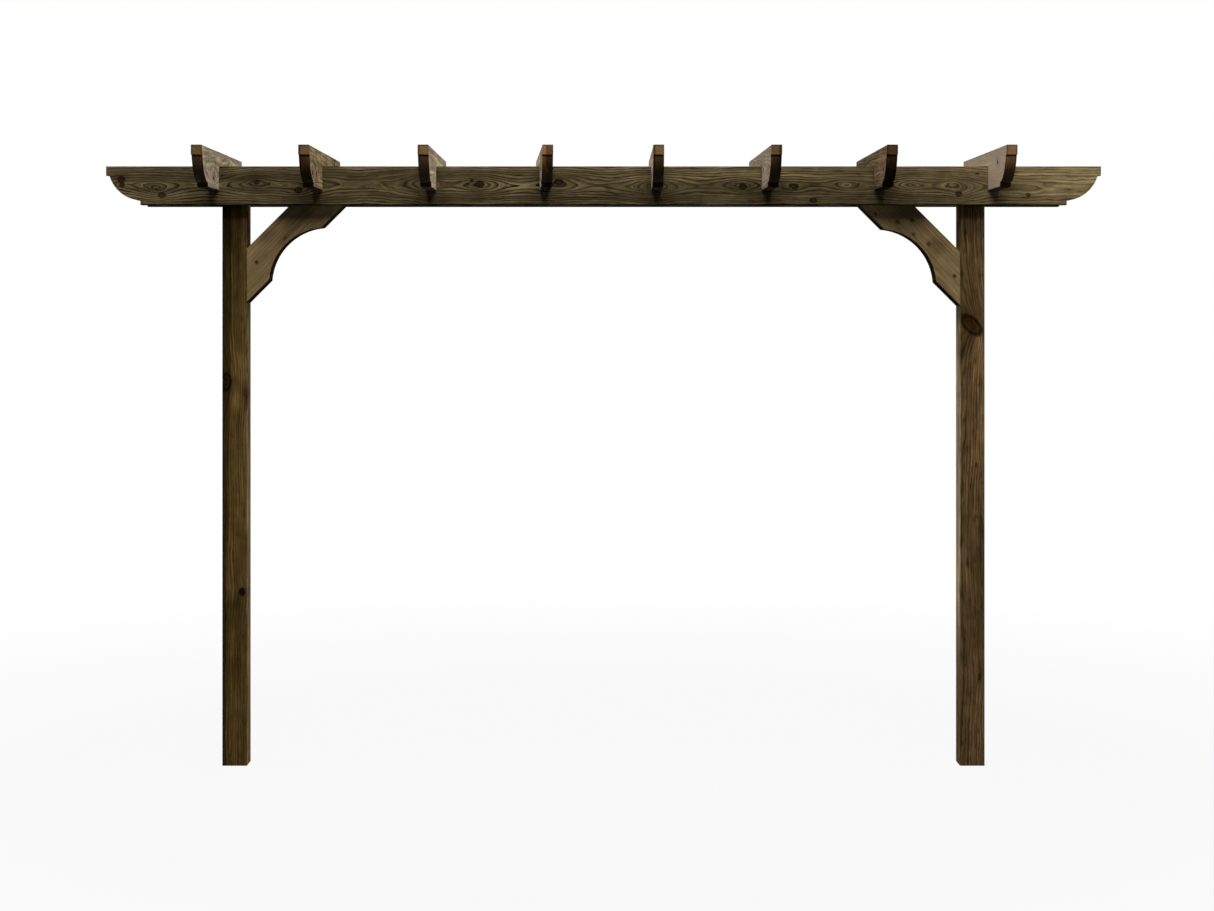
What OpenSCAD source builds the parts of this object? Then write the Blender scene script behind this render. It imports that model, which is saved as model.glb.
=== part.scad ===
// Garden pergola: two posts, a pair of beams, paired knee braces and eight notched rafters.
// Millimetres, +Z up. The origin is the middle of the left post's foot, at ground level.
// The front looks towards -Y, and the beams run along +X.

/* [Timber] */
// Depth of the boards that make the beams, rafters and braces
board_h = 140; // [125:1:175]
// Thickness of those boards
board_t = 38; // [28:1:42]
// Width of the square posts
post_w = 90; // [80:1:120]
// Radius of the rounded arrises along the planed timber
arris_r = 3; // [1:0.5:6]

/* [Frame] */
// Length of the two beams
beam_len = 3600; // [3300:10:4200]
// Clear width between the posts
opening_w = 2592; // [2200:1:2700]
// Height of the beams' underside above the ground
headroom = 2037; // [1850:1:2400]

/* [Rafters] */
// Length of the rafters
rafter_len = 880; // [700:10:1200]
// Height that the rafters stand above the beams
rafter_rise = 52; // [35:1:75]
// Distance between the middles of the first two rafters at the left
first_bay = 377; // [300:1:430]
// Gap between an end rafter and the post beside it
post_gap = 5; // [3:1:15]
// Play on each side of a board in its notch
notch_play = 1; // [0.5:0.25:2]

/* [Scrolled ends] */
// Height of the square nose
nose_h = 34; // [20:1:50]
// Depth of the ledge under the nose
nose_lip = 12; // [5:1:25]
// Length of the scroll from the nose to its step
scroll_len = 124; // [100:1:150]
// Height of the step where the scroll meets the board's lower edge
step_h = 16; // [8:1:28]

/* [Braces] */
// Reach of the left braces' lower edge down the post and out along the beams
left_brace_leg = 353; // [300:1:450]
// Reach of the right braces' lower edge, which were set a little lower
right_brace_leg = 365; // [300:1:450]
// Width of the round bite in that edge
bite_w = 273; // [200:1:320]
// Depth of the bite
bite_d = 51; // [30:1:70]
// Gap between the top of a brace and the rafters over it
brace_gap = 7; // [3:1:15]

/* [Hidden] */
$fn = 64;

// How far each rafter was set out of square, in degrees, with its rear end to the right if positive
rafter_skew = [0, 0.5, 0.3, -2.8, 0.5, -0.9, 0, 0];
// How far each rafter was set to the right of its even place
rafter_offset = [0, -2, 2, 2, 4, -6, -6, 0];
rafters = len(rafter_skew);

// Room that a cutting solid reaches past the face it cuts
over = 1;

post_pitch = opening_w + post_w;
mid_x = post_pitch / 2;
beam_top = headroom + board_h;
// The beams stand against the posts' front and rear faces
beam_y = (post_w + board_t) / 2;
// The braces are flush with those faces, between the beams
brace_y = (post_w - board_t) / 2;

// Each board gives up half of the crossing, so that a rafter sits down over both beams
rafter_bottom = beam_top + rafter_rise - board_h;
seat_z = (rafter_bottom + beam_top) / 2;
notch_w = board_t + 2 * notch_play;

// The end rafters stand just outside the posts, and the rest are even after the first bay
end_x = post_w / 2 + post_gap + board_t / 2;
rafter_pitch = (post_pitch + 2 * end_x - first_bay) / (rafters - 2);
function even_x(i) = i == 0 ? -end_x : first_bay - end_x + (i - 1) * rafter_pitch;
function rafter_x(i) = even_x(i) + rafter_offset[i];

// The scroll is an arc about a point on the board's top edge
scroll_r = board_h - step_h;
scroll_mid = nose_lip + sqrt(scroll_r * scroll_r - nose_h * nose_h);

// The brace's board lies at 45 degrees, and its top is cut level between the beams
brace_lap = rafter_rise - brace_gap;
bite_r = (bite_w * bite_w / 4 + bite_d * bite_d) / (2 * bite_d);

post_brown = "#46351a";
beam_brown = "#5f5037";
brace_brown = "#6b5c40";
rafter_brown = "#74614a";

// Section of planed timber, w by h, with its four arrises rounded
module planed_section(w, h) {
    square([w - 2 * arris_r, h], center = true);
    square([w, h - 2 * arris_r], center = true);
    for (sx = [-1, 1], sy = [-1, 1])
        translate([sx * (w / 2 - arris_r), sy * (h / 2 - arris_r)])
            circle(arris_r);
}

// Planed board along X, centred on X and Y, standing on its edge at z = 0
module planed_board(length) {
    translate([-length / 2, 0, board_h / 2])
        rotate([0, 90, 0])
            linear_extrude(length)
                planed_section(board_h, board_t);
}

// What the saw takes off one end of a board: all under the nose but the scroll itself
module scroll_waste() {
    difference() {
        translate([-over, -over])
            square([scroll_len + over, board_h - nose_h + over]);
        translate([scroll_mid, board_h])
            circle(scroll_r);
    }
}

// Planed board along X with a scroll at each end
module scrolled_board(length) {
    difference() {
        planed_board(length);
        for (turn = [0, 1])
            mirror([turn, 0, 0])
                translate([-length / 2, 0, 0])
                    rotate([90, 0, 0])
                        linear_extrude(board_t + 2 * over, center = true)
                            scroll_waste();
    }
}

// Stands a piece that is made about the origin, along Y, at its rafter's place
module at_rafter(i) {
    translate([rafter_x(i), 0, 0])
        rotate([0, 0, -rafter_skew[i]])
            children();
}

// Notch in the beams for one rafter, open at the top
module rafter_notch(i) {
    at_rafter(i)
        translate([-notch_w / 2, -rafter_len / 2, seat_z])
            cube([notch_w, rafter_len, board_h]);
}

// Notch in the rafters for the beam at y, open at the bottom
module beam_notch(y) {
    translate([mid_x - beam_len / 2, y - notch_w / 2, seat_z - board_h])
        cube([beam_len, notch_w, board_h]);
}

module post(x) {
    color(post_brown)
        translate([x, 0, 0])
            linear_extrude(beam_top)
                planed_section(post_w, post_w);
}

module beam(y) {
    color(beam_brown)
        difference() {
            translate([mid_x, y, headroom])
                scrolled_board(beam_len);
            for (i = [0 : rafters - 1])
                rafter_notch(i);
        }
}

// Brace that leans out along +X from the corner of post and beam at the origin
module brace_board(leg) {
    edge_len = (leg + brace_lap) * sqrt(2);
    bite_mid = leg / 2 + (bite_r - bite_d) / sqrt(2);
    difference() {
        translate([0, 0, -leg])
            rotate([0, -45, 0])
                translate([edge_len / 2, 0, 0])
                    planed_board(edge_len + 2 * over);
        // Mitre against the post
        translate([-board_h, -board_t, -leg - board_h])
            cube([board_h, 2 * board_t, leg + 2 * board_h]);
        // Level cut between the beams
        translate([-board_h, -board_t, brace_lap])
            cube([leg + 2 * board_h, 2 * board_t, board_h]);
        // Round bite in the lower edge
        translate([bite_mid, 0, -bite_mid])
            rotate([90, 0, 0])
                cylinder(r = bite_r, h = 2 * board_t, center = true);
    }
}

module left_brace(y) {
    color(brace_brown)
        translate([post_w / 2, y, headroom])
            brace_board(left_brace_leg);
}

module right_brace(y) {
    color(brace_brown)
        translate([post_pitch - post_w / 2, y, headroom])
            mirror([1, 0, 0])
                brace_board(right_brace_leg);
}

module rafter(i) {
    color(rafter_brown)
        difference() {
            at_rafter(i)
                translate([0, 0, rafter_bottom])
                    rotate([0, 0, 90])
                        scrolled_board(rafter_len);
            for (y = [-beam_y, beam_y])
                beam_notch(y);
        }
}

post(0);  // left_post
post(post_pitch);  // right_post
beam(-beam_y);  // front_beam
beam(beam_y);  // rear_beam
left_brace(-brace_y);  // left_front_brace
left_brace(brace_y);  // left_rear_brace
right_brace(-brace_y);  // right_front_brace
right_brace(brace_y);  // right_rear_brace
for (i = [0 : rafters - 1])
    rafter(i);
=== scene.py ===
"""Looks of a garden pergola of brown-stained softwood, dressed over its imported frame. Metres, +Z up."""
import math
import random

import bpy
from mathutils import Matrix, Vector


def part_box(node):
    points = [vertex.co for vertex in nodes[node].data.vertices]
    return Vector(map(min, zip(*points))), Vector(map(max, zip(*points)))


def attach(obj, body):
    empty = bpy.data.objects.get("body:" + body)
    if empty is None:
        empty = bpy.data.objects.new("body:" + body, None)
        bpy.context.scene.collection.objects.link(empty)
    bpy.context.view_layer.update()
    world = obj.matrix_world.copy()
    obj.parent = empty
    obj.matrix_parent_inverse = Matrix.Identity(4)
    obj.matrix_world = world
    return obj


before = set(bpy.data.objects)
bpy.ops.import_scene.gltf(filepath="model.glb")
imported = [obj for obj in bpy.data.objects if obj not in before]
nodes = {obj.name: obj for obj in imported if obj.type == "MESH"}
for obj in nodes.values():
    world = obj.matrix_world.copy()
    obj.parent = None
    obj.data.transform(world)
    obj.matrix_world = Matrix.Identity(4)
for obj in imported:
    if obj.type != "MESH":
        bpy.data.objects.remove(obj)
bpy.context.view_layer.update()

MM = 0.001
RIGHT = Vector((1, 0, 0))
REAR = Vector((0, 1, 0))
UP = Vector((0, 0, 1))
WHITE = "#FFFFFF"

# The photo's frame and what was measured in it, in its pixels
PHOTO_W = 1214
PHOTO_H = 911
FOCAL_PX = 2211
VANISH_X = 590
VANISH_Y = 310

# Where the photo was taken from
CAMERA_BACK = 8.0
CAMERA_LEFT_OF_MIDDLE = 0.049
EYE_HEIGHT = 1.657

RAFTERS = 8
beam_low, beam_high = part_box("front_beam")
post_low, post_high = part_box("left_post")
middle_x = (beam_low.x + beam_high.x) / 2

# The timbers' sections in millimetres, and half of them: across the face, and through the timber
board_t = (beam_high.y - beam_low.y) / MM
board_h = (beam_high.z - beam_low.z) / MM
post_w = (post_high.x - post_low.x) / MM
board_half = (board_h / 2, board_t / 2)
post_half = (post_w / 2, post_w / 2)

# Heights of the noses and steps at the boards' scrolled ends, and their edges' levels from mid-board,
# in millimetres, with a level under any timber for those that have no scroll
NOSE_H = 34
STEP_H = 16
NOSE_LEVEL = board_h / 2 - NOSE_H
STEP_LEVEL = STEP_H - board_h / 2
BELOW_ALL = -10000


def linear(hex_colour):
    """Turns an sRGB hex colour into the linear RGBA that a shader takes."""
    channels = [int(hex_colour[i:i + 2], 16) / 255 for i in (1, 3, 5)]
    return [c / 12.92 if c <= 0.04045 else ((c + 0.055) / 1.055) ** 2.4 for c in channels] + [1.0]


def bare_material(name):
    """A new material with nothing in its tree."""
    material = bpy.data.materials.new(name)
    material.use_nodes = True
    material.node_tree.nodes.clear()
    return material


def put(tree, kind, inputs=None, take=None, **settings):
    """Adds a node, sets its properties, fills its inputs by name or number, and returns one output."""
    made = tree.nodes.new(kind)
    for key, value in settings.items():
        setattr(made, key, value)
    for key, value in (inputs or {}).items():
        socket = made.inputs[key] if isinstance(key, int) else next(
            s for s in made.inputs if s.name == key and s.enabled)
        if isinstance(value, bpy.types.NodeSocket):
            tree.links.new(value, socket)
        else:
            socket.default_value = value
    return next((s for s in made.outputs if s.enabled and take in (None, s.name)), None)


# Stained softwood

# Soft patterns drawn out along the board: length and width of their marks in millimetres, and detail
BOARD_PATTERNS = {
    "ripple": (120, 24, 2.0),
    "band": (1500, 26, 1.5),
    "blotch": (320, 80, 2.0),
    "smudge": (60, 40, 2.0),
    "wobble": (16, 12, 2.0),
}
# Patterns that follow the rings round the knots. Real fibres and flecks are narrower, and are drawn
# coarse enough to show in the render.
GRAIN_PATTERNS = {
    "streak": (500, 7, 2.0),
    "fibre": (130, 3.5, 3.0),
    "fleck": (40, 5, 2.0),
}
# How much lighter or darker those patterns make the wood, at the two ends of the range given first
PATTERN_SHADES = {
    "band": (0.3, 0.7, 0.76, 1.26),
    "streak": (0.3, 0.7, 0.62, 1.4),
    "fibre": (0.3, 0.7, 0.6, 1.42),
    "blotch": (0.3, 0.7, 0.72, 1.3),
    "smudge": (0.3, 0.7, 0.8, 1.2),
    "fleck": (0.55, 0.7, 1.0, 0.5),
}
# Value that the noise varies about
NOISE_MIDDLE = 0.5
# How far apart in the noise the patterns and piths of boards with neighbouring seeds are
PATTERN_STEPS = (7.3, 3.1, 1)
PITH_STEPS = (5.7, 1, 0)
# Length of the log over which its pith wanders, in millimetres
WANDER_LENGTH = 900

# Shares of a ring's width between which it darkens to late wood. Real late wood is narrower, and is
# drawn wide enough to show in the render.
LATE_FROM = 0.45
LATE_TO = 0.95
# Strengths of the blotches between which the rings go from faint to full, and the share of their
# contrast that faint ones keep
FAINT_AT = 0.35
FULL_AT = 0.6
FAINT_RINGS = 0.6
# How much of their contrast the rings keep on an end
END_RINGS = 0.5
# Where along a board its rings start to fade, and where they have faded as far as they do
FADE_FROM = 700
FADE_TO = 1700
# How dark the heartwood is, half the width of its edge in millimetres, and how much its radius grows
# along the log
HEART_SHADE = 0.42
HEART_EDGE = 2
HEART_TAPER = 0.0125

# How much longer than wide the grain's detour round a knot is
DETOUR = 2.0
INVERSE_E = math.exp(-1)
# How deep a knot or a smear reaches from its face, and a depth past any board's, in millimetres
KNOT_DEPTH = 60
THROUGHOUT = 10000
# How far a knot's rim strays, in millimetres, how many rings of its own it shows, and how dark they are
KNOT_WOBBLE = 7
KNOT_RINGS = 2.4
KNOT_RING_DEPTH = 0.7
# Shares of a knot's size at which its bark starts and is full, seen from its middle
BARK_STARTS = 0.6
BARK_FULL = 0.9
# Shares of a knot's size at which the knot starts and is full, seen from outside, and how much of the
# wood it then hides
KNOT_STARTS = 1.15
KNOT_FULL = 0.9
KNOT_HIDES = 0.9
# Nearness to a knot, which is 1 in its middle, at which its resin starts, and how dark resin is there
RESIN_FROM = 0.25
RESIN_SHADE = 0.6

# How squarely a face looks along the grain, as a cosine, when it starts to be an end and when it is one
END_FACING = (0.3, 0.8)
# How squarely it looks the way of the upper edge when it is a lower edge and when it no longer is, and
# when it starts to be a top and when it is one
LOWER_FACING = (-0.7, -0.15)
TOP_FACING = (0.75, 0.95)
# How even the patterns are on an end, where 1 is plain
END_CALM = 0.7
# How dark the arrises are on a long face and round an end, and from where to where that thins out, in
# millimetres
ARRIS_SHADE = 0.7
END_ARRIS_SHADE = 0.4
ARRIS_FROM = 1.5
ARRIS_TO = 6.0
# Painted shade: how dark lower edges are, the braces' with their sawn bites, and tops, darkened against the
# strong light from above
UNDERSIDE_PAINTED_SHADE = 0.3
BITE_PAINTED_SHADE = 0.16
TOP_PAINTED_SHADE = 0.6
# How pale the sawn scrolls are, and the painted shade that multiplies that: darkest down at the step and
# lightest under the nose
SAWN_GAIN = 1.6
STEP_PAINTED_SHADE = 0.1
UNDER_NOSE_PAINTED_LIGHT = 2.0
# How dark the painted shadow in the corner under a nose is, and from where to where below the nose that thins
# out, in millimetres
CORNER_PAINTED_SHADOW = 0.12
CORNER_FROM = 4
CORNER_TO = 9

# Shares of a smear's and of a patch of painted light's size between which it thins out
SMEAR_FROM = 0.2
PAINTED_LIGHT_FROM = 0.5
THINNED_OUT = 1.5
# The grey of the painted light on the posts' inner sides
PAINTED_SIDE_LIGHT_GREY = "#A29375"
# Height of the raised grain in millimetres, how much of it shows, and how high the late wood stands
# beside the fibres
GRAIN_HEIGHT = 0.8
GRAIN_STRENGTH = 0.4
LATE_HEIGHT = 0.6
# How rough early and late wood are
EARLY_ROUGHNESS = 0.8
LATE_ROUGHNESS = 0.65


def away_from(tree, local, spot, half, turn=0.0):
    """How far a point lies from a spot in the board, as a share of the spot's own half sizes."""
    scaled = put(tree, "ShaderNodeMapping", {
        "Vector": local, "Location": spot, "Rotation": (0, 0, turn), "Scale": half}, vector_type="TEXTURE")
    return put(tree, "ShaderNodeVectorMath", {0: scaled}, operation="LENGTH")


def draw_patterns(tree, place, patterns, seed):
    """Soft noise at a place given in millimetres, with each pattern's own length and width of mark."""
    drawn = {}
    for key, (along, across, detail) in patterns.items():
        spread = put(tree, "ShaderNodeVectorMath", {
            0: place, 1: (1 / along, 1 / across, 1 / across), 2: [seed * step for step in PATTERN_STEPS]},
            operation="MULTIPLY_ADD")
        drawn[key] = put(tree, "ShaderNodeTexNoise", {"Vector": spread, "Scale": 1.0, "Detail": detail})
    return drawn


def grow_rings(tree, local, soft, figure):
    """Distance in millimetres from the log's wandering pith, before its knots."""
    drawn = put(tree, "ShaderNodeVectorMath", {
        0: local, 1: (1 / WANDER_LENGTH, 0, 0), 2: [figure["seed"] * step for step in PITH_STEPS]},
        operation="MULTIPLY_ADD")
    wander = put(tree, "ShaderNodeTexNoise", {"Vector": drawn, "Scale": 1.0, "Detail": 1.0}, take="Color")
    pith_across, pith_through = figure["pith"]
    sway_across, sway_through = figure["sway"]
    to_pith = put(tree, "ShaderNodeVectorMath", {
        0: wander, 1: (0, 2 * sway_across, 2 * sway_through),
        2: (0, -sway_across - pith_across, -sway_through - pith_through)}, operation="MULTIPLY_ADD")
    from_pith = put(tree, "ShaderNodeVectorMath", {0: local, 1: (0, 1, 1), 2: to_pith},
                    operation="MULTIPLY_ADD")
    radius = put(tree, "ShaderNodeVectorMath", {0: from_pith}, operation="LENGTH")
    return put(tree, "ShaderNodeMath", {0: soft["ripple"], 1: figure["ripple"], 2: radius},
               operation="MULTIPLY_ADD")


def grow_knots(tree, local, radius, soft, figure):
    """Lets the rings flow round the knots.

    Returns the radius, how far it is to the nearest knot's middle as a share of the knot's own size, and
    how much resin there is round the knots, 0 to 1."""
    nearest = resin = None
    uneven = put(tree, "ShaderNodeMath", {0: soft["wobble"], 1: NOISE_MIDDLE}, operation="SUBTRACT")
    face = figure["face"]
    knots = [(face, knot) for knot in figure["knots"]] + [(-face, knot) for knot in figure["rear_knots"]]
    for through, (along, across, heart_along, heart_across, spread, rings, *slant) in knots:
        turn = math.radians(slant[0]) if slant else 0.0
        spot = (along, across, through)
        far = away_from(tree, local, spot, (DETOUR * spread, spread, KNOT_DEPTH))
        dip = put(tree, "ShaderNodeMath", {0: INVERSE_E, 1: far}, operation="POWER")
        radius = put(tree, "ShaderNodeMath", {0: dip, 1: -rings * figure["ring"], 2: radius},
                     operation="MULTIPLY_ADD")
        if heart_along:
            reach = away_from(tree, local, spot, (heart_along, heart_across, KNOT_DEPTH), turn)
            reach = put(tree, "ShaderNodeMath", {0: uneven, 1: KNOT_WOBBLE / heart_across, 2: reach},
                        operation="MULTIPLY_ADD")
            nearest = reach if nearest is None else put(
                tree, "ShaderNodeMath", {0: nearest, 1: reach}, operation="MINIMUM")
            resin = dip if resin is None else put(
                tree, "ShaderNodeMath", {0: resin, 1: dip}, operation="MAXIMUM")
    return radius, nearest, resin


def darken_late_wood(tree, radius, ring):
    """How late in its year the wood grew: each ring darkens from 0 to 1, then starts again."""
    turns = put(tree, "ShaderNodeMath", {0: radius, 1: ring}, operation="DIVIDE")
    phase = put(tree, "ShaderNodeMath", {0: turns}, operation="FRACT")
    return put(tree, "ShaderNodeMapRange", {
        "Value": phase, "From Min": LATE_FROM, "From Max": LATE_TO, "To Min": 0.0, "To Max": 1.0},
        interpolation_type="SMOOTHSTEP")


def tint_rings(tree, late, along, soft, end, tones, figure):
    """The stain's colours on early and late wood, and on ends, where the rings show less."""
    depth = put(tree, "ShaderNodeMapRange", {
        "Value": soft["blotch"], "From Min": FAINT_AT, "From Max": FULL_AT,
        "To Min": FAINT_RINGS * figure["contrast"], "To Max": figure["contrast"]})
    fading = put(tree, "ShaderNodeMapRange", {
        "Value": along, "From Min": FADE_FROM, "From Max": FADE_TO,
        "To Min": 1.0, "To Max": figure["faded"]})
    depth = put(tree, "ShaderNodeMath", {0: depth, 1: fading}, operation="MULTIPLY")
    ringed = put(tree, "ShaderNodeMath", {0: late, 1: depth}, operation="MULTIPLY")
    end_ringed = put(tree, "ShaderNodeMath", {0: ringed, 1: END_RINGS}, operation="MULTIPLY")
    colour = put(tree, "ShaderNodeMix", {
        "Factor": ringed, "A": linear(tones["early"]), "B": linear(tones["late"])}, data_type="RGBA")
    end_colour = put(tree, "ShaderNodeMix", {
        "Factor": end_ringed, "A": linear(tones["end"]), "B": linear(tones["late"])}, data_type="RGBA")
    return put(tree, "ShaderNodeMix", {"Factor": end, "A": colour, "B": end_colour}, data_type="RGBA")


def tint_heartwood(tree, colour, along, radius, heartwood):
    """Darkens the heartwood, which narrows towards the log's thin end."""
    from_heart = put(tree, "ShaderNodeMath", {0: along, 1: -HEART_TAPER, 2: radius},
                     operation="MULTIPLY_ADD")
    darkened = put(tree, "ShaderNodeMapRange", {
        "Value": from_heart, "From Min": heartwood - HEART_EDGE, "From Max": heartwood + HEART_EDGE,
        "To Min": HEART_SHADE, "To Max": 1.0})
    return put(tree, "ShaderNodeVectorMath", {0: colour, "Scale": darkened}, operation="SCALE")


def tint_knots(tree, colour, nearest, tones):
    """Lays the knots over the wood, each with rings of its own inside a rim of dark bark."""
    own_turns = put(tree, "ShaderNodeMath", {0: nearest, 1: KNOT_RINGS}, operation="MULTIPLY")
    own_late = put(tree, "ShaderNodeMath", {0: own_turns}, operation="FRACT")
    rim = put(tree, "ShaderNodeMapRange", {"Value": nearest, "From Min": BARK_STARTS, "From Max": BARK_FULL})
    barky = put(tree, "ShaderNodeMath", {0: own_late, 1: KNOT_RING_DEPTH, 2: rim},
                operation="MULTIPLY_ADD", use_clamp=True)
    knot = put(tree, "ShaderNodeMix", {
        "Factor": barky, "A": linear(tones["knot"]), "B": linear(tones["bark"])}, data_type="RGBA")
    inside = put(tree, "ShaderNodeMapRange", {
        "Value": nearest, "From Min": KNOT_STARTS, "From Max": KNOT_FULL,
        "To Min": 0.0, "To Max": KNOT_HIDES})
    return put(tree, "ShaderNodeMix", {"Factor": inside, "A": colour, "B": knot}, data_type="RGBA")


def paint_side_light(tree, colour, shade, local, places):
    """Paints light, in a grey, over the places given."""
    for along, across, half_along, half_across, share in places:
        away = away_from(tree, local, (along, across, 0), (half_along, half_across, THROUGHOUT))
        painted_side_light = put(tree, "ShaderNodeMapRange", {
            "Value": away, "From Min": PAINTED_LIGHT_FROM, "From Max": THINNED_OUT,
            "To Min": share, "To Max": 0.0}, interpolation_type="SMOOTHSTEP")
        grey = put(tree, "ShaderNodeVectorMath", {0: linear(PAINTED_SIDE_LIGHT_GREY)[:3], "Scale": shade}, operation="SCALE")
        colour = put(tree, "ShaderNodeMix", {"Factor": painted_side_light, "A": colour, "B": grey}, data_type="RGBA")
    return colour


def shade_patterns(tree, soft, end, calm):
    """How much lighter or darker the soft patterns make the wood, more evenly on an end or a calm board."""
    shade = None
    for key, (low, high, low_shade, high_shade) in PATTERN_SHADES.items():
        gain = put(tree, "ShaderNodeMapRange", {
            "Value": soft[key], "From Min": low, "From Max": high, "To Min": low_shade, "To Max": high_shade})
        shade = gain if shade is None else put(
            tree, "ShaderNodeMath", {0: shade, 1: gain}, operation="MULTIPLY")
    evened = put(tree, "ShaderNodeMapRange", {"Value": end, "To Min": calm, "To Max": END_CALM})
    return put(tree, "ShaderNodeMix", {"Factor": evened, "A": shade, "B": 1.0}, data_type="FLOAT")


def shade_arrises(tree, local, end, half):
    """The stain gathered along the arrises, most of all round an end."""
    sides = put(tree, "ShaderNodeVectorMath", {0: local}, operation="ABSOLUTE")
    inward = put(tree, "ShaderNodeVectorMath", {0: (0, *half), 1: sides}, operation="SUBTRACT")
    insets = tree.nodes.new("ShaderNodeSeparateXYZ")
    tree.links.new(inward, insets.inputs[0])
    both = {0: insets.outputs["Y"], 1: insets.outputs["Z"]}
    larger = put(tree, "ShaderNodeMath", both, operation="MAXIMUM")
    smaller = put(tree, "ShaderNodeMath", both, operation="MINIMUM")
    # On a long face the nearest arris is the larger inset away, and on an end the smaller
    inset = put(tree, "ShaderNodeMix", {"Factor": end, "A": larger, "B": smaller}, data_type="FLOAT")
    darkest = put(tree, "ShaderNodeMapRange", {
        "Value": end, "To Min": ARRIS_SHADE, "To Max": END_ARRIS_SHADE})
    return put(tree, "ShaderNodeMapRange", {
        "Value": inset, "From Min": ARRIS_FROM, "From Max": ARRIS_TO, "To Min": darkest, "To Max": 1.0})


def paint_scroll_shade(tree, local, end, lie):
    """Painted shade on the sawn scrolls: darker from the nose down to the step, and a painted shadow in the
    corner under the nose."""
    level = put(tree, "ShaderNodeVectorMath", {0: local, 1: (0, 1, 0)}, operation="DOT_PRODUCT")
    below = put(tree, "ShaderNodeMath", {0: level, 1: lie["nose"]}, operation="LESS_THAN")
    sawn = put(tree, "ShaderNodeMath", {0: below, 1: end}, operation="MULTIPLY")
    painted_grade = put(tree, "ShaderNodeMapRange", {
        "Value": level, "From Min": STEP_LEVEL, "From Max": NOSE_LEVEL,
        "To Min": STEP_PAINTED_SHADE * lie["sawn"], "To Max": UNDER_NOSE_PAINTED_LIGHT * lie["sawn"]})
    corner = put(tree, "ShaderNodeMapRange", {
        "Value": level, "From Min": NOSE_LEVEL - CORNER_TO, "From Max": NOSE_LEVEL - CORNER_FROM,
        "To Min": 1.0, "To Max": CORNER_PAINTED_SHADOW})
    painted_grade = put(tree, "ShaderNodeMath", {0: painted_grade, 1: corner}, operation="MULTIPLY")
    return put(tree, "ShaderNodeMix", {"Factor": sawn, "A": 1.0, "B": painted_grade}, data_type="FLOAT")


def paint_edge_shade(tree, normal, lie):
    """Painted shade: lower edges are darkest, and what looks up is darkened against the light from above."""
    height = put(tree, "ShaderNodeVectorMath", {0: normal, 1: lie["upper"]}, operation="DOT_PRODUCT")
    underside = put(tree, "ShaderNodeMapRange", {
        "Value": height, "From Min": LOWER_FACING[0], "From Max": LOWER_FACING[1],
        "To Min": lie["painted_underside"], "To Max": 1.0})
    painted_top_shade = put(tree, "ShaderNodeMapRange", {
        "Value": height, "From Min": TOP_FACING[0], "From Max": TOP_FACING[1],
        "To Min": 1.0, "To Max": TOP_PAINTED_SHADE})
    return put(tree, "ShaderNodeMath", {0: underside, 1: painted_top_shade}, operation="MULTIPLY")


def shade_wash(tree, local, half, wash):
    """Paler towards one end and one edge."""
    along, across, whole = wash
    thinner = put(tree, "ShaderNodeVectorMath", {
        0: local, 1: (along * MM, across / half[0], 0)}, operation="DOT_PRODUCT")
    thinner = put(tree, "ShaderNodeMath", {0: thinner, 1: whole}, operation="ADD")
    return put(tree, "ShaderNodeMath", {0: math.e, 1: thinner}, operation="POWER")


def shade_smears(tree, local, smears, through, depth):
    """One shade for each smear, which is darkest in its middle."""
    shades = []
    for along, across, half_along, half_across, darkness in smears:
        away = away_from(tree, local, (along, across, through), (half_along, half_across, depth))
        shades.append(put(tree, "ShaderNodeMapRange", {
            "Value": away, "From Min": SMEAR_FROM, "From Max": THINNED_OUT,
            "To Min": 1 - darkness, "To Max": 1.0}, interpolation_type="SMOOTHSTEP"))
    return shades


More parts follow.
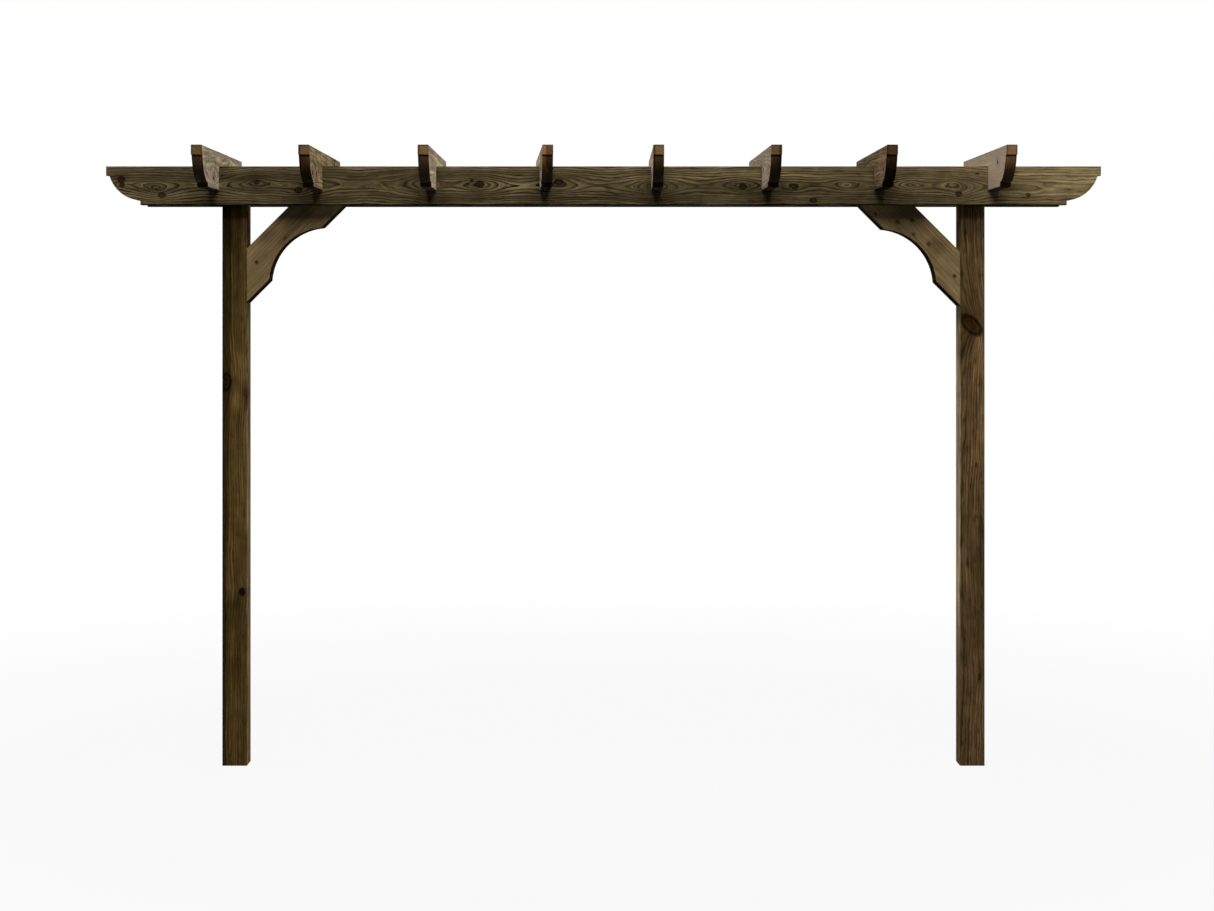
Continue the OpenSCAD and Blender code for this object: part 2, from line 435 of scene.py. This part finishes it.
def stained_softwood(name, lie, tones, figure):
    """Planed pine under a thin brown stain, weathered dull outdoors.

    The rings of the log run through the whole board, so flat faces show arches and eyes, edges show
    lines and ends show arcs. Late wood takes the stain darkest, and knots are darker still."""
    material = bare_material(name)
    tree = material.node_tree
    coords = tree.nodes.new("ShaderNodeTexCoord")
    normal = coords.outputs["Normal"]
    # Along the grain, across the face and through the board, in millimetres from its middle
    local = put(tree, "ShaderNodeMapping", {
        "Vector": coords.outputs["Object"], "Location": lie["middle"],
        "Rotation": lie["turn"], "Scale": (MM, MM, MM)}, vector_type="TEXTURE")
    along = put(tree, "ShaderNodeSeparateXYZ", {0: local})
    soft = draw_patterns(tree, local, BOARD_PATTERNS, figure["seed"])
    plain_radius = grow_rings(tree, local, soft, figure)
    radius, nearest, resin = grow_knots(tree, local, plain_radius, soft, figure)
    flow = put(tree, "ShaderNodeCombineXYZ", {"X": along, "Y": radius})
    soft.update(draw_patterns(tree, flow, GRAIN_PATTERNS, figure["seed"]))
    facing = put(tree, "ShaderNodeVectorMath", {0: normal, 1: lie["grain"]}, operation="DOT_PRODUCT")
    facing = put(tree, "ShaderNodeMath", {0: facing}, operation="ABSOLUTE")
    end = put(tree, "ShaderNodeMapRange", {
        "Value": facing, "From Min": END_FACING[0], "From Max": END_FACING[1], "To Min": 0.0, "To Max": 1.0})

    late = darken_late_wood(tree, radius, figure["ring"])
    colour = tint_rings(tree, late, along, soft, end, tones, figure)
    if figure["heartwood"]:
        colour = tint_heartwood(tree, colour, along, plain_radius, figure["heartwood"])
    # The scrolls' shade and the edges' shade in this list are painted shade
    shades = [shade_patterns(tree, soft, end, figure["calm"]), shade_arrises(tree, local, end, lie["half"]),
              paint_scroll_shade(tree, local, end, lie), paint_edge_shade(tree, normal, lie),
              shade_wash(tree, local, lie["half"], figure["wash"])]
    if nearest is not None:
        colour = tint_knots(tree, colour, nearest, tones)
        # Resin darkens the wood round the knots
        shades.append(put(tree, "ShaderNodeMapRange", {
            "Value": resin, "From Min": RESIN_FROM, "From Max": 1.0, "To Min": 1.0, "To Max": RESIN_SHADE}))
    shades += shade_smears(tree, local, figure["smears"], figure["face"], KNOT_DEPTH)
    # Broad painted light and shade on the posts and braces, and paler ends on the front beam
    shades += shade_smears(tree, local, figure["broad_shading"], 0, THROUGHOUT)
    shade = shades[0]
    for further in shades[1:]:
        shade = put(tree, "ShaderNodeMath", {0: shade, 1: further}, operation="MULTIPLY")
    colour = put(tree, "ShaderNodeVectorMath", {0: colour, "Scale": shade}, operation="SCALE")
    # Painted light, in a grey, on the posts' inner sides
    colour = paint_side_light(tree, colour, shade, local, figure["painted_side_light"])

    relief = put(tree, "ShaderNodeMath", {0: late, 1: LATE_HEIGHT, 2: soft["fibre"]},
                 operation="MULTIPLY_ADD")
    raised = put(tree, "ShaderNodeBump", {
        "Strength": GRAIN_STRENGTH, "Distance": GRAIN_HEIGHT * MM, "Height": relief})
    roughness = put(tree, "ShaderNodeMapRange", {
        "Value": late, "To Min": EARLY_ROUGHNESS, "To Max": LATE_ROUGHNESS})
    # The stain has weathered dead matt, so it mirrors nothing
    surface = put(tree, "ShaderNodeBsdfPrincipled", {
        "Base Color": colour, "Roughness": roughness, "IOR": 1.45, "Specular IOR Level": 0.0,
        "Normal": raised})
    put(tree, "ShaderNodeOutputMaterial", {"Surface": surface})
    return material


# How each kind of timber took the stain
LEFT_POST_TONES = {
    "early": "#5E4A27", "late": "#20160A", "end": "#4E3A1E", "bark": "#140C06", "knot": "#4A341C"}
RIGHT_POST_TONES = {
    "early": "#604B2F", "late": "#20160C", "end": "#4E3A1E", "bark": "#22140B", "knot": "#55391C"}
BEAM_TONES = {
    "early": "#534831", "late": "#100B06", "end": "#4C3D26", "bark": "#120905", "knot": "#3A2614"}
BRACE_TONES = {
    "early": "#7B6847", "late": "#483A23", "end": "#4E4028", "bark": "#4A3820", "knot": "#5C4628"}
PALE_RAFTER_TONES = {
    "early": "#857764", "late": "#493E31", "end": "#6E5536", "bark": "#241810", "knot": "#3E2C1C"}
BROWN_RAFTER_TONES = {
    "early": "#6B5C44", "late": "#392F24", "end": "#6E5536", "bark": "#1C120A", "knot": "#342213"}
DARK_RAFTER_TONES = {
    "early": "#574835", "late": "#2C2218", "end": "#4A3420", "bark": "#170E07", "knot": "#2A1A0E"}

# What a timber's figure has where nothing else is said, in the timber's own millimetres: the radius of
# its dark heartwood, the share of its rings that is left where they have faded, how even its stain is
# (1 is plain), how much paler it is a metre along, at the upper edge and as a whole (as powers of e),
# and its lists. Each figure adds a seed, which only tells its patterns from other timbers', the pith's
# place and sway across and through the timber, the rings' width, ripple and contrast, and the level
# of the face that its knots and smears are on.
PLAIN_FIGURE = {
    "heartwood": 0, "faded": 1, "calm": 0, "wash": (0, 0, 0),
    "knots": [], "rear_knots": [], "smears": [], "broad_shading": [], "painted_side_light": []}

# Knots that show, in millimetres from the board's middle: place along and across, half the heart's
# length and height, reach of the grain that flows round it, how many rings it bends and, where it
# lies aslant, its turn in degrees
FRONT_BEAM_KNOTS = [
    (-1745, 22, 13, 13, 20, 1), (-1742, 4, 10, 10, 12, 0.5), (-1618, -11, 5, 4, 40, 5),
    (-1598, -34, 14, 10, 18, 0.5), (-1254, 13, 11, 8, 46, 5), (-1104, -16, 14, 11, 44, 4),
    (-628, 6, 0, 0, 52, 5), (-447, 6, 15, 12, 54, 6), (-476, 20, 7, 5, 8, 0.5), (-491, 6, 7, 5, 8, 0.5),
    (-162, 13, 15, 12, 46, 5), (181, 0, 0, 0, 58, 6), (504, -3, 14, 11, 50, 5), (692, -8, 9, 7, 32, 3),
    (759, -52, 14, 9, 22, 1), (881, 2, 0, 0, 44, 4), (1109, 4, 0, 0, 48, 5), (1264, 6, 0, 0, 36, 3),
    (1285, -30, 11, 9, 32, 3), (1353, 43, 7, 4, 8, 0.5), (1537, -34, 9, 7, 24, 1),
]
LEFT_POST_KNOTS = [(307, -30, 34, 19, 36, 4), (-456, 27, 14, 10, 30, 2.5)]
RIGHT_POST_KNOTS = [(514, -3, 50, 27, 52, 6, -45), (5, 13, 8, 4, 14, 1), (-765, 27, 10, 7, 24, 1.5)]
LEFT_BRACE_KNOTS = [(-18, -2, 8, 5, 16, 0.5)]
RIGHT_BRACE_KNOTS = [
    (163, -50, 6, 5, 10, 0.5), (86, -16, 8, 7, 12, 0.5), (53, 28, 8, 7, 12, 0.5), (14, -5, 6, 5, 10, 0.5),
    (-50, 8, 8, 7, 12, 0.5),
]
# Knots that run across a rafter's face
RAFTER_SPIKES = {
    1: [(-171, 0, 5, 60, 10, 0)],
    2: [(-251, -20, 5, 40, 10, 0), (269, 50, 8, 20, 10, 0)],
    6: [(-254, -20, 4, 40, 10, 0)],
}
# Knots on the posts' rear faces, which the photo doesn't show
LEFT_POST_REAR_KNOTS = [(-150, 12, 13, 9, 30, 2.5), (620, -20, 10, 8, 26, 2)]
RIGHT_POST_REAR_KNOTS = [(180, -14, 14, 10, 32, 3), (-520, 10, 10, 8, 26, 2)]
# How many knots the rear beam and each rafter have at random
REAR_BEAM_KNOTS = 12
RAFTER_KNOTS = 3
# Least and most of those knots' half height, of their reach and of the rings they bend, how much longer
# than high they are, and how far from the middle they lie, as shares of the length and half the height
RANDOM_HEARTS = (4, 10)
RANDOM_REACHES = (16, 36)
RANDOM_BENDS = (2, 5)
RANDOM_STRETCH = 1.2
RANDOM_ALONG = 0.42
RANDOM_ACROSS = 0.7

# Dark smears, and light ones with less than no darkness, on the face that the photo shows: place along
# and across, half their length and width, and darkness
LEFT_POST_SMEARS = [
    (307, -30, 45, 22, 0.35), (365, 19, 55, 26, -0.5), (258, 44, 60, 14, 0.55), (240, 8, 50, 18, -0.35),
    (-540, 0, 70, 40, 0.35), (-400, 30, 45, 14, -0.4), (-456, 27, 15, 11, 0.75), (-493, 8, 32, 15, 0.4),
]
RIGHT_POST_SMEARS = [
    (545, -34, 30, 22, 0.3), (435, -36, 60, 14, 0.5), (400, 20, 70, 24, -0.4), (462, 22, 24, 14, -0.5),
    (566, 16, 34, 20, -0.35),
]
FRONT_BEAM_SMEARS = [(440, -38, 60, 20, -0.5)]
LEFT_BRACE_SMEARS = [(-60, 48, 45, 22, 0.4), (60, 10, 60, 30, 0.25), (-153, 9, 8, 8, 0.7)]
RIGHT_BRACE_SMEARS = [(-80, 25, 35, 40, 0.4), (60, 20, 60, 30, 0.25), (-199, -7, 8, 8, 0.7)]
# Broad shading of whole timbers, listed as smears are
# The posts: painted shade under the beam, and painted light right under it that lifts that shade; the left
# post has more painted shade a little lower down
POST_PAINTED_LIGHT_AND_SHADE = [(950, 0, 260, 200, 0.4), (922, 0, 35, 200, -1.0)]
LEFT_POST_PAINTED_LIGHT_AND_SHADE = POST_PAINTED_LIGHT_AND_SHADE + [(830, 0, 75, 200, 0.22)]
# The front beam: paler towards both ends, most of all the right
FRONT_BEAM_PALER_ENDS = [(-1800, 0, 400, 300, -0.25), (1800, 0, 500, 300, -1.05)]
# The braces: painted light at the top, under the beam
BRACE_PAINTED_LIGHT = [(230, 0, 90, 140, -1.4)]
# Painted light, in a grey, on the inner sides of the posts: place and half sizes as above, and the share of
# the grey
LEFT_POST_SIDE_LIGHT = [(0, 46, 1100, 4, 0.18)]
RIGHT_POST_SIDE_LIGHT = [(60, -46, 650, 4, 0.68)]

# Rafters that took the stain otherwise than most did
RAFTER_TONES = {2: BROWN_RAFTER_TONES, 7: DARK_RAFTER_TONES}
# How much paler each rafter is at its top edge, and as a whole, as a power of e
RAFTER_WASH = {
    1: (-0.2, 0.05), 2: (-0.1, 0), 3: (-0.08, 0.15), 6: (0, -0.2), 7: (0.2, -0.15), 8: (-0.1, -0.17)}
USUAL_WASH = (0.05, 0)
# How even the stain on some rafters is, where 1 is plain
RAFTER_CALM = {3: 0.2, 6: 0.3, 8: 0.85}
# End grain that is paler than the other rafters', and scrolls that lost more of the stain
PALE_ENDS = {4: "#8A6440", 8: "#886545"}
PALE_SCROLLS = {4: 2.2, 7: 2.0, 8: 2.8}
# Heights of the pith from mid-board, which the rafters take in turn
RAFTER_PITHS = (-10, -3, 4, 11)
# Contrast of the rafters' rings, and how much of it an even stain hides
RAFTER_CONTRAST = 0.6
HIDDEN_BY_CALM = 0.6


def lie_of(node, grain, across, half, nose=BELOW_ALL):
    """How a timber lies: its middle, the turn from its own directions to the frame's, half its section,
    the level of its noses' lower edge, which way its upper edge looks, how dark the painted shade on its
    lower edge is and how pale its sawn scrolls are."""
    low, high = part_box(node)
    through = grain.cross(across)
    turn = Matrix((grain, across, through)).transposed().to_euler()
    return {"middle": (low + high) / 2, "grain": grain, "turn": turn, "half": half, "nose": nose,
            "upper": UP, "painted_underside": UNDERSIDE_PAINTED_SHADE, "sawn": SAWN_GAIN}


def random_knots(seed, length, count, half_across):
    """A few knots anywhere on a board, listed as the knots above are."""
    dice = random.Random(seed)
    knots = []
    for _ in range(count):
        heart = dice.uniform(*RANDOM_HEARTS)
        along = dice.uniform(-RANDOM_ALONG, RANDOM_ALONG) * length
        across = dice.uniform(-RANDOM_ACROSS, RANDOM_ACROSS) * half_across
        reach = dice.uniform(*RANDOM_REACHES)
        rings = dice.uniform(*RANDOM_BENDS)
        knots.append((along, across, RANDOM_STRETCH * heart, heart, reach, rings))
    return knots


def dress(node, lie, tones, figure):
    """Gives a timber a stained pine of its own."""
    thing = nodes[node]
    thing.data.materials.clear()
    thing.data.materials.append(stained_softwood("stained_pine_" + node, lie, tones, PLAIN_FIGURE | figure))


def dress_posts():
    """Dark posts, with painted light on their inner sides. The left one has dark heartwood along one corner.
    """
    dress("left_post", lie_of("left_post", UP, RIGHT, post_half), LEFT_POST_TONES, {
        "seed": 3, "pith": (-62, -40), "sway": (6, 6), "heartwood": 47, "ring": 9, "ripple": 12,
        "contrast": 0.5, "calm": 0.1, "wash": (0, 0.1, -0.12), "face": -post_w / 2,
        "knots": LEFT_POST_KNOTS, "rear_knots": LEFT_POST_REAR_KNOTS, "smears": LEFT_POST_SMEARS,
        "broad_shading": LEFT_POST_PAINTED_LIGHT_AND_SHADE, "painted_side_light": LEFT_POST_SIDE_LIGHT})
    dress("right_post", lie_of("right_post", UP, RIGHT, post_half), RIGHT_POST_TONES, {
        "seed": 4, "pith": (-85, 60), "sway": (8, 8), "ring": 6, "ripple": 8,
        "contrast": 0.65, "wash": (0, 0.25, 0.06), "face": -post_w / 2,
        "knots": RIGHT_POST_KNOTS, "rear_knots": RIGHT_POST_REAR_KNOTS, "smears": RIGHT_POST_SMEARS,
        "broad_shading": POST_PAINTED_LIGHT_AND_SHADE, "painted_side_light": RIGHT_POST_SIDE_LIGHT})


def dress_beams():
    """Two beams alike, sawn through the middle of the log, so that arches and eyes show most."""
    figure = {
        "pith": (0, 4), "sway": (24, 8), "ring": 11, "ripple": 18,
        "contrast": 0.95, "faded": 0.6, "wash": (0.05, 0.16, 0), "face": board_t / 2}
    dress("front_beam", lie_of("front_beam", RIGHT, UP, board_half, NOSE_LEVEL), BEAM_TONES, figure | {
        "seed": 11, "knots": FRONT_BEAM_KNOTS, "smears": FRONT_BEAM_SMEARS, "broad_shading": FRONT_BEAM_PALER_ENDS})
    length = (beam_high.x - beam_low.x) / MM
    dress("rear_beam", lie_of("rear_beam", RIGHT, UP, board_half, NOSE_LEVEL), BEAM_TONES, figure | {
        "seed": 12, "knots": random_knots(11, length, REAR_BEAM_KNOTS, board_h / 2)})


def dress_braces():
    """Plain braces, paler than the posts and beams, with painted light at the top under the beam."""
    for side, seed, lean, knots, smears in (
            ("left", 21, RIGHT, LEFT_BRACE_KNOTS, LEFT_BRACE_SMEARS),
            ("right", 23, -RIGHT, RIGHT_BRACE_KNOTS, RIGHT_BRACE_SMEARS)):
        grain = (lean + UP).normalized()
        across = (UP - lean).normalized()
        for further, depth in enumerate(("front", "rear")):
            node = f"{side}_{depth}_brace"
            lie = lie_of(node, grain, across, board_half)
            # The box's middle lies on the long edge, so the board's is half a board further in
            lie["middle"] = lie["middle"] + across * board_h / 2 * MM
            # Painted shade: the lower edge, with its sawn bite, is darker still than the other boards' lower
            # edges
            lie.update({"upper": across, "painted_underside": BITE_PAINTED_SHADE})
            dress(node, lie, BRACE_TONES, {
                "seed": seed + further, "pith": (-90, 60), "sway": (20, 20), "ring": 12, "ripple": 14,
                "contrast": 0.25, "calm": 0.6, "wash": (-0.25, -0.05, 0), "face": lean.x * board_t / 2,
                "knots": knots, "smears": smears, "broad_shading": BRACE_PAINTED_LIGHT})


def dress_rafters():
    """Greyer rafters, each with its own tone and grain."""
    for number in range(1, RAFTERS + 1):
        node = f"rafter_{number}"
        low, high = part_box(node)
        length = (high.y - low.y) / MM
        lie = lie_of(node, REAR, UP, board_half, NOSE_LEVEL)
        lie["sawn"] = PALE_SCROLLS.get(number, SAWN_GAIN)
        tones = dict(RAFTER_TONES.get(number, PALE_RAFTER_TONES))
        tones["end"] = PALE_ENDS.get(number, tones["end"])
        # The photo shows the right face of the rafters at the left, and the other way about
        shown = 1 if number <= RAFTERS / 2 else -1
        calm = RAFTER_CALM.get(number, 0)
        knots = random_knots(40 + number, length, RAFTER_KNOTS, board_h / 2)
        knots += RAFTER_SPIKES.get(number, [])
        pith_level = RAFTER_PITHS[number % len(RAFTER_PITHS)]
        dress(node, lie, tones, {
            "seed": 30 + number, "pith": (pith_level, -40), "sway": (30, 20), "ring": 10, "ripple": 8,
            "contrast": RAFTER_CONTRAST * (1 - HIDDEN_BY_CALM * calm), "calm": calm,
            "wash": (0, *RAFTER_WASH.get(number, USUAL_WASH)), "face": shown * board_t / 2, "knots": knots})


# Countersunk screws, in millimetres
SCREW_HEAD = 10
SCREW_SHANK = 5
SCREW_DEPTH = 4
SCREW_PROUD = 0.4
SCREW_RIM = 0.5
DRIVE_TIP = 5.2
DRIVE_WAIST = 3.6
DRIVE_DEPTH = 2.4
DRIVE_LOBES = 6
# Corners of the head to each lobe of the drive, and how many of them are drawn in between two lobes
LOBE_CORNERS = 4
WAIST_CORNERS = 2
# Places of the screws on the braces: in from the post, and up from the brace's lowest point
BRACE_SCREWS = {"left": (35, 147), "right": (20, 109)}
# Size of the worn patches in the screws' coating, the values of the noise between which it wears, and the
# coating's colours and roughness, whole and worn
COATING_WEAR = 2.5
WEAR_FROM = 0.4
WEAR_TO = 0.7
COATING = "#1C140D"
WORN_COATING = "#33271B"
COATING_ROUGHNESS = 0.55
WORN_ROUGHNESS = 0.75


def coated_steel():
    """Steel under a brown-black weatherproof coating, which is matt and wears paler in small patches."""
    material = bare_material("brown_coated_steel")
    tree = material.node_tree
    coords = tree.nodes.new("ShaderNodeTexCoord")
    wear = put(tree, "ShaderNodeTexNoise", {
        "Vector": coords.outputs["Object"], "Scale": 1 / (COATING_WEAR * MM), "Detail": 3.0})
    worn = put(tree, "ShaderNodeMapRange", {"Value": wear, "From Min": WEAR_FROM, "From Max": WEAR_TO})
    colour = put(tree, "ShaderNodeMix", {
        "Factor": worn, "A": linear(COATING), "B": linear(WORN_COATING)}, data_type="RGBA")
    roughness = put(tree, "ShaderNodeMapRange", {
        "Value": worn, "To Min": COATING_ROUGHNESS, "To Max": WORN_ROUGHNESS})
    surface = put(tree, "ShaderNodeBsdfPrincipled", {
        "Base Color": colour, "Roughness": roughness, "IOR": 1.5, "Specular IOR Level": 0.1})
    put(tree, "ShaderNodeOutputMaterial", {"Surface": surface})
    return material


def select_only(mesh, corners=(), faces=()):
    """Selects corners or faces of the active piece by their numbers, and goes to edit mode."""
    bpy.ops.object.mode_set(mode="OBJECT")
    for group in (mesh.vertices, mesh.edges, mesh.polygons):
        group.foreach_set("select", [False] * len(group))
    for number in corners:
        mesh.vertices[number].select = True
    for number in faces:
        mesh.polygons[number].select = True
    bpy.ops.object.mode_set(mode="EDIT")


def model_screw():
    """One screw's head about the origin, with its face just over z = 0 and a six-lobed drive."""
    bpy.ops.object.select_all(action="DESELECT")
    head_corners = LOBE_CORNERS * DRIVE_LOBES
    bpy.ops.mesh.primitive_cone_add(
        vertices=head_corners, radius1=SCREW_SHANK / 2 * MM, radius2=SCREW_HEAD / 2 * MM,
        depth=SCREW_DEPTH * MM, location=(0, 0, -SCREW_DEPTH / 2 * MM))
    bpy.ops.object.transform_apply(location=True)
    screw = bpy.context.object
    mesh = screw.data
    top = max(mesh.polygons, key=lambda face: face.center.z)
    select_only(mesh, faces=[top.index])
    bpy.ops.mesh.extrude_region_move(TRANSFORM_OT_translate={"value": (0, 0, SCREW_PROUD * MM)})
    within_rim = 1 - 2 * SCREW_RIM / SCREW_HEAD
    bpy.ops.transform.resize(value=(within_rim, within_rim, 1))
    bpy.ops.mesh.inset(thickness=(SCREW_HEAD * within_rim - DRIVE_TIP) / 2 * MM)
    # Between each two lobes of the drive, its corners are drawn in to the waist
    bpy.ops.object.mode_set(mode="OBJECT")
    drive = next(face for face in mesh.polygons if face.select)
    drive_number = drive.index
    step = math.radians(360) / head_corners
    drawn_in = []
    for corner in drive.vertices:
        x, y, _ = mesh.vertices[corner].co
        if round(math.atan2(y, x) / step) % LOBE_CORNERS < WAIST_CORNERS:
            drawn_in.append(corner)
    select_only(mesh, corners=drawn_in)
    waist = DRIVE_WAIST / DRIVE_TIP
    bpy.ops.transform.resize(value=(waist, waist, 1), center_override=(0, 0, SCREW_PROUD * MM))
    select_only(mesh, faces=[drive_number])
    bpy.ops.mesh.extrude_region_move(TRANSFORM_OT_translate={"value": (0, 0, -DRIVE_DEPTH * MM)})
    bpy.ops.object.mode_set(mode="OBJECT")
    return screw


def drive_screws(name, pattern, places, turn):
    """Sets a copy of the screw at each place, turned the way its face looks, and joins the copies."""
    bpy.ops.object.select_all(action="DESELECT")
    for place in places:
        screw = pattern.copy()
        screw.data = pattern.data.copy()
        screw.location = place
        screw.rotation_euler = turn
        bpy.context.scene.collection.objects.link(screw)
        screw.select_set(True)
        bpy.context.view_layer.objects.active = screw
    bpy.ops.object.join()
    bpy.ops.object.transform_apply(location=True, rotation=True)
    joined = bpy.context.object
    joined.name = name
    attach(joined, "root")


def add_screws():
    """One screw in each rafter over each beam, and one near the foot of each brace."""
    pattern = model_screw()
    pattern.data.materials.append(coated_steel())
    rear_low, rear_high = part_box("rear_beam")
    over_beams = []
    for number in range(1, RAFTERS + 1):
        low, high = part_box(f"rafter_{number}")
        for beam_y in ((beam_low.y + beam_high.y) / 2, (rear_low.y + rear_high.y) / 2):
            over_beams.append(((low.x + high.x) / 2, beam_y, high.z))
    drive_screws("rafter_screws", pattern, over_beams, (0, 0, 0))
    for depth, turn in (("front", math.radians(90)), ("rear", math.radians(-90))):
        places = []
        for side, (inward, upward) in BRACE_SCREWS.items():
            low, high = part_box(f"{side}_{depth}_brace")
            x = low.x + inward * MM if side == "left" else high.x - inward * MM
            places.append((x, low.y if depth == "front" else high.y, low.z + upward * MM))
        drive_screws(f"{depth}_brace_screws", pattern, places, (turn, 0, 0))
    bpy.data.objects.remove(pattern)


# Studio: a pale floor, a white backdrop and soft light from above and all sides

# The camera's film in millimetres, and how far off the camera still sees, in metres
FILM_WIDTH = 36
FARTHEST = 200
# Soft boxes: place from the ground at the pergola's middle, width and depth in metres, and watts
SOFT_BOXES = {
    "left_soft_box": ((-12, 0.1, 7.0), 6, 6, 1400),
    "right_soft_box": ((12, 0.1, 7.0), 6, 6, 1400),
    "front_soft_box": ((0, -1.9, 6.4), 4.2, 3, 600),
    "rear_soft_box": ((0, 6.0, 5.0), 6, 3, 420),
}
# Height that they are aimed at, and the strength of the light from the room itself
AIM_HEIGHT = 1.9
ROOM_LIGHT = 0.07
# The floor's size in metres, and its grey, which keeps the light that it throws up low
FLOOR_SIZE = 60
FLOOR_GREY = "#505050"
# Distances from the pergola's middle between which the floor runs into the backdrop, and how much of it
# is backdrop already at the nearer one
FLOOR_NEAR = 2.0
FLOOR_FAR = 5.0
BACKDROP_NEAR = 0.93


def set_camera():
    """Camera at the photo's view."""
    bpy.ops.object.camera_add(
        location=(middle_x - CAMERA_LEFT_OF_MIDDLE, beam_low.y - CAMERA_BACK, EYE_HEIGHT),
        rotation=(math.radians(90), 0, 0))
    camera = bpy.context.object
    camera.name = "photo_camera"
    lens = camera.data
    lens.sensor_fit = "HORIZONTAL"
    lens.sensor_width = FILM_WIDTH
    lens.lens = FOCAL_PX / PHOTO_W * FILM_WIDTH
    lens.shift_x = (PHOTO_W / 2 - VANISH_X) / PHOTO_W
    lens.shift_y = (VANISH_Y - PHOTO_H / 2) / PHOTO_W
    lens.clip_end = FARTHEST
    bpy.context.scene.camera = camera


def seen_directly(tree):
    """1 where the camera sees a surface itself or in a mirror or glass, else 0."""
    path = tree.nodes.new("ShaderNodeLightPath")
    seen = path.outputs["Is Camera Ray"]
    for kind in ("Is Glossy Ray", "Is Transmission Ray"):
        seen = put(tree, "ShaderNodeMath", {0: seen, 1: path.outputs[kind]}, operation="MAXIMUM")
    return seen


def light_studio():
    """Soft boxes, and a dim room that the camera sees as a white backdrop."""
    aim = Vector((middle_x, 0, AIM_HEIGHT))
    for name, ((from_middle, y, z), width, depth, watts) in SOFT_BOXES.items():
        place = Vector((middle_x + from_middle, y, z))
        bpy.ops.object.light_add(type="AREA", location=place)
        lamp = bpy.context.object
        lamp.name = name
        lamp.rotation_euler = (aim - place).to_track_quat("-Z", "Y").to_euler()
        lamp.data.shape = "RECTANGLE"
        lamp.data.size = width
        lamp.data.size_y = depth
        lamp.data.energy = watts
    world = bpy.data.worlds.new("pale_studio")
    bpy.context.scene.world = world
    world.use_nodes = True
    tree = world.node_tree
    tree.nodes.clear()
    room = put(tree, "ShaderNodeBackground", {"Color": linear(WHITE), "Strength": ROOM_LIGHT})
    backdrop = put(tree, "ShaderNodeBackground", {"Color": linear(WHITE), "Strength": 1.0})
    shown = put(tree, "ShaderNodeMixShader", {0: seen_directly(tree), 1: room, 2: backdrop})
    put(tree, "ShaderNodeOutputWorld", {"Surface": shown})


def lay_floor():
    """Matt floor that keeps the shadow near the pergola, and further off runs into the white backdrop."""
    bpy.ops.object.select_all(action="DESELECT")
    bpy.ops.mesh.primitive_plane_add(size=FLOOR_SIZE, location=(middle_x, 0, 0))
    bpy.ops.object.transform_apply(location=True)
    floor = bpy.context.object
    floor.name = "studio_floor"
    material = bare_material("pale_studio_floor")
    tree = material.node_tree
    matt = put(tree, "ShaderNodeBsdfDiffuse", {"Color": linear(FLOOR_GREY)})
    white = put(tree, "ShaderNodeEmission", {"Color": linear(WHITE), "Strength": 1.0})
    coords = tree.nodes.new("ShaderNodeTexCoord")
    away = put(tree, "ShaderNodeVectorMath", {0: coords.outputs["Object"], 1: (middle_x, 0, 0)},
               operation="DISTANCE")
    share = put(tree, "ShaderNodeMapRange", {
        "Value": away, "From Min": FLOOR_NEAR, "From Max": FLOOR_FAR,
        "To Min": BACKDROP_NEAR, "To Max": 1.0})
    share = put(tree, "ShaderNodeMath", {0: seen_directly(tree), 1: share}, operation="MULTIPLY")
    shown = put(tree, "ShaderNodeMixShader", {0: share, 1: matt, 2: white})
    put(tree, "ShaderNodeOutputMaterial", {"Surface": shown})
    floor.data.materials.append(material)


dress_posts()
dress_beams()
dress_braces()
dress_rafters()
add_screws()
set_camera()
light_studio()
lay_floor()
bpy.context.scene.view_settings.view_transform = "Standard"
